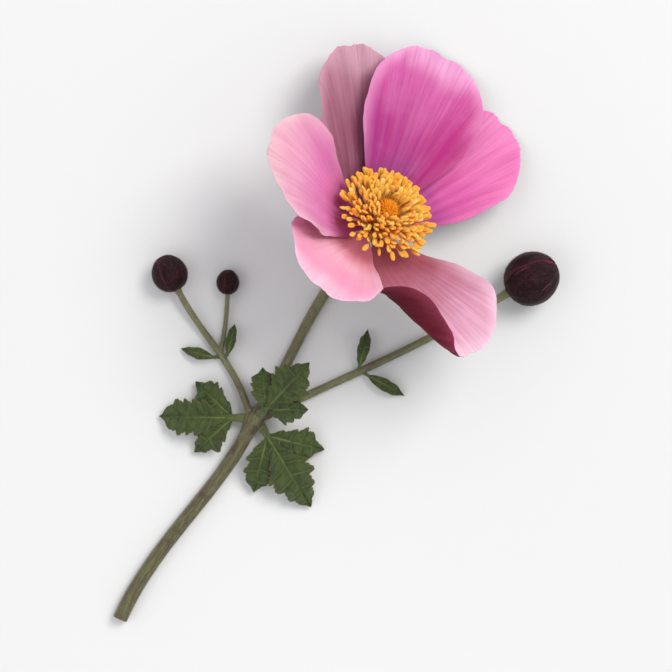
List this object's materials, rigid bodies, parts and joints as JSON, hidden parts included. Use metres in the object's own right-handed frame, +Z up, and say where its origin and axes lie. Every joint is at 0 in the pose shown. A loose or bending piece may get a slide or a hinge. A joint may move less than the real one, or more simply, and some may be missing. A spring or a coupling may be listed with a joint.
{
  "type": "japanese anemone flower",
  "caption": "Picked pink anemone flower lying on its side: an open flower with a golden ring of stamens on a slim stem, with closed buds and a leafy whorl below it.",
  "frame": {"origin": "on the surface that the flower lies on, under the middle of its overall box", "axes": "+Y runs from the cut end of the stem to the flower, +X to the right of that seen from above, +Z up"},
  "size_m": [0.0766, 0.1358, 0.0412],
  "materials": {
    "tepal_inner": "satin",
    "tepal_outer": "satin",
    "anther": "matte",
    "carpel": "matte",
    "stalk": "matte",
    "leaf": "satin",
    "bud": "matte"
  },
  "bodies": {
    "root": {"tepal_outer_1": "tepal_outer", "tepal_inner_1": "tepal_inner", "tepal_outer_2": "tepal_outer", "tepal_inner_2": "tepal_inner", "tepal_inner_3": "tepal_inner", "tepal_outer_3": "tepal_outer", "stamens_outer_whorl": "anther", "stamens_middle_whorl": "anther", "stamens_inner_whorl": "anther", "carpel_head": "carpel", "flower_stalk": "stalk", "main_stem": "stalk", "bud_stalk_large": "stalk", "bud_stalk_small": "stalk", "bud_stalk_tiny": "stalk", "bud_large": "bud", "bud_small": "bud", "bud_tiny": "bud", "bract_left": "leaf", "bract_right": "leaf", "bract_upper": "leaf", "bractlet_small_a": "leaf", "bractlet_small_b": "leaf", "bractlet_large_a": "leaf", "bractlet_large_b": "leaf"}
  },
  "joints": []
}
